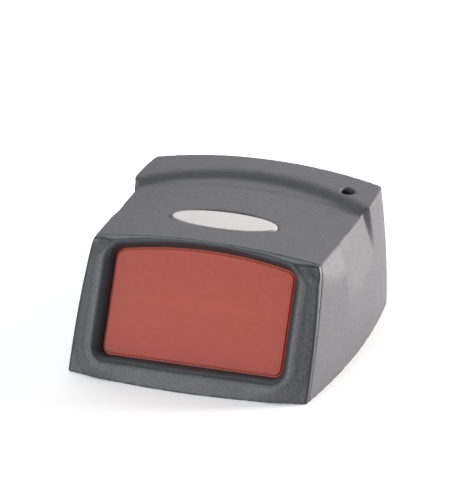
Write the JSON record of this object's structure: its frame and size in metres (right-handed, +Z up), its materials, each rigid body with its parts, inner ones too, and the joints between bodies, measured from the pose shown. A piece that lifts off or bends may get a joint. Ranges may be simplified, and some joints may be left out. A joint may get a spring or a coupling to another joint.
{
  "type": "fixed-mount bar code scanner",
  "caption": "Compact fixed-mount laser bar code scanner with a raked red exit window in a framed front, an arched top with a raised rear section, and a cable jack at the back.",
  "frame": {"origin": "on the resting face, midway between the sides, within 1 mm of the middle of the body's box", "axes": "+X to the right seen from the window side, +Y to the rear (the window faces -Y), +Z up"},
  "size_m": [0.0562, 0.0562, 0.0294],
  "materials": {
    "housing_plastic": "fine moulded texture",
    "bezel_plastic": "fine moulded texture, smooth inside the funnel",
    "window_red": "deep red filter acrylic",
    "gasket_foam": "closed-cell adhesive foam",
    "badge_white": "satin, blank",
    "light_pipe": "dark smoked acrylic",
    "base_plastic": "fine moulded texture",
    "screw_steel": "zinc plated",
    "insert_brass": "knurled, turned",
    "label_film": "blank film",
    "board_green": "solder mask",
    "chip_black": "moulded epoxy",
    "capacitor_tan": "ceramic",
    "led_lens": "clear epoxy",
    "beeper_black": "moulded",
    "connector_ivory": "moulded nylon",
    "jack_black": "moulded nylon",
    "contact_gold": "gold plated",
    "chassis_zinc": "die-cast zinc alloy",
    "flex_amber": "polyimide film",
    "barrel_brass": "turned",
    "diode_can": "gold-flashed can",
    "lens_clear": "coated glass",
    "mirror_coat": "front-surface mirror",
    "hub_plastic": "glass-filled nylon",
    "magnet_nickel": "nickel plated",
    "coil_copper": "enamelled copper wire"
  },
  "bodies": {
    "case": {"top_housing": "housing_plastic", "front_bezel": "bezel_plastic", "exit_window": "window_red", "window_gasket": "gasket_foam", "badge": "badge_white", "led_light_pipe": "light_pipe", "base_cover": "base_plastic", "base_screws": "screw_steel", "mount_inserts": "insert_brass", "rating_label": "label_film", "main_board": "board_green", "decoder_chip": "chip_black", "memory_chip": "chip_black", "board_capacitors": "capacitor_tan", "status_led": "led_lens", "beeper": "beeper_black", "board_connector": "connector_ivory", "board_screws": "screw_steel", "rear_jack": "jack_black", "jack_contacts": "contact_gold", "engine_chassis": "chassis_zinc", "engine_screws": "screw_steel", "engine_board": "board_green", "engine_chip": "chip_black", "flex_cable": "flex_amber", "laser_barrel": "barrel_brass", "laser_diode": "diode_can", "collimating_lens": "lens_clear", "collection_mirror": "mirror_coat", "photodiode": "chip_black", "optical_filter": "window_red", "pivot_pin": "screw_steel", "coil_bobbin": "hub_plastic", "drive_coil": "coil_copper"},
    "mirror": {"scan_mirror": "mirror_coat", "mirror_hub": "hub_plastic", "drive_magnet": "magnet_nickel"}
  },
  "joints": [
    {"name": "mirror_swing", "type": "hinge", "parent": "case", "child": "mirror", "pos_m": [0.003, 0.003, 0.015], "axis": [0, 0, 1], "range_deg": [-12, 12], "stiffness_Nm_per_rad": 0.0002}
  ]
}
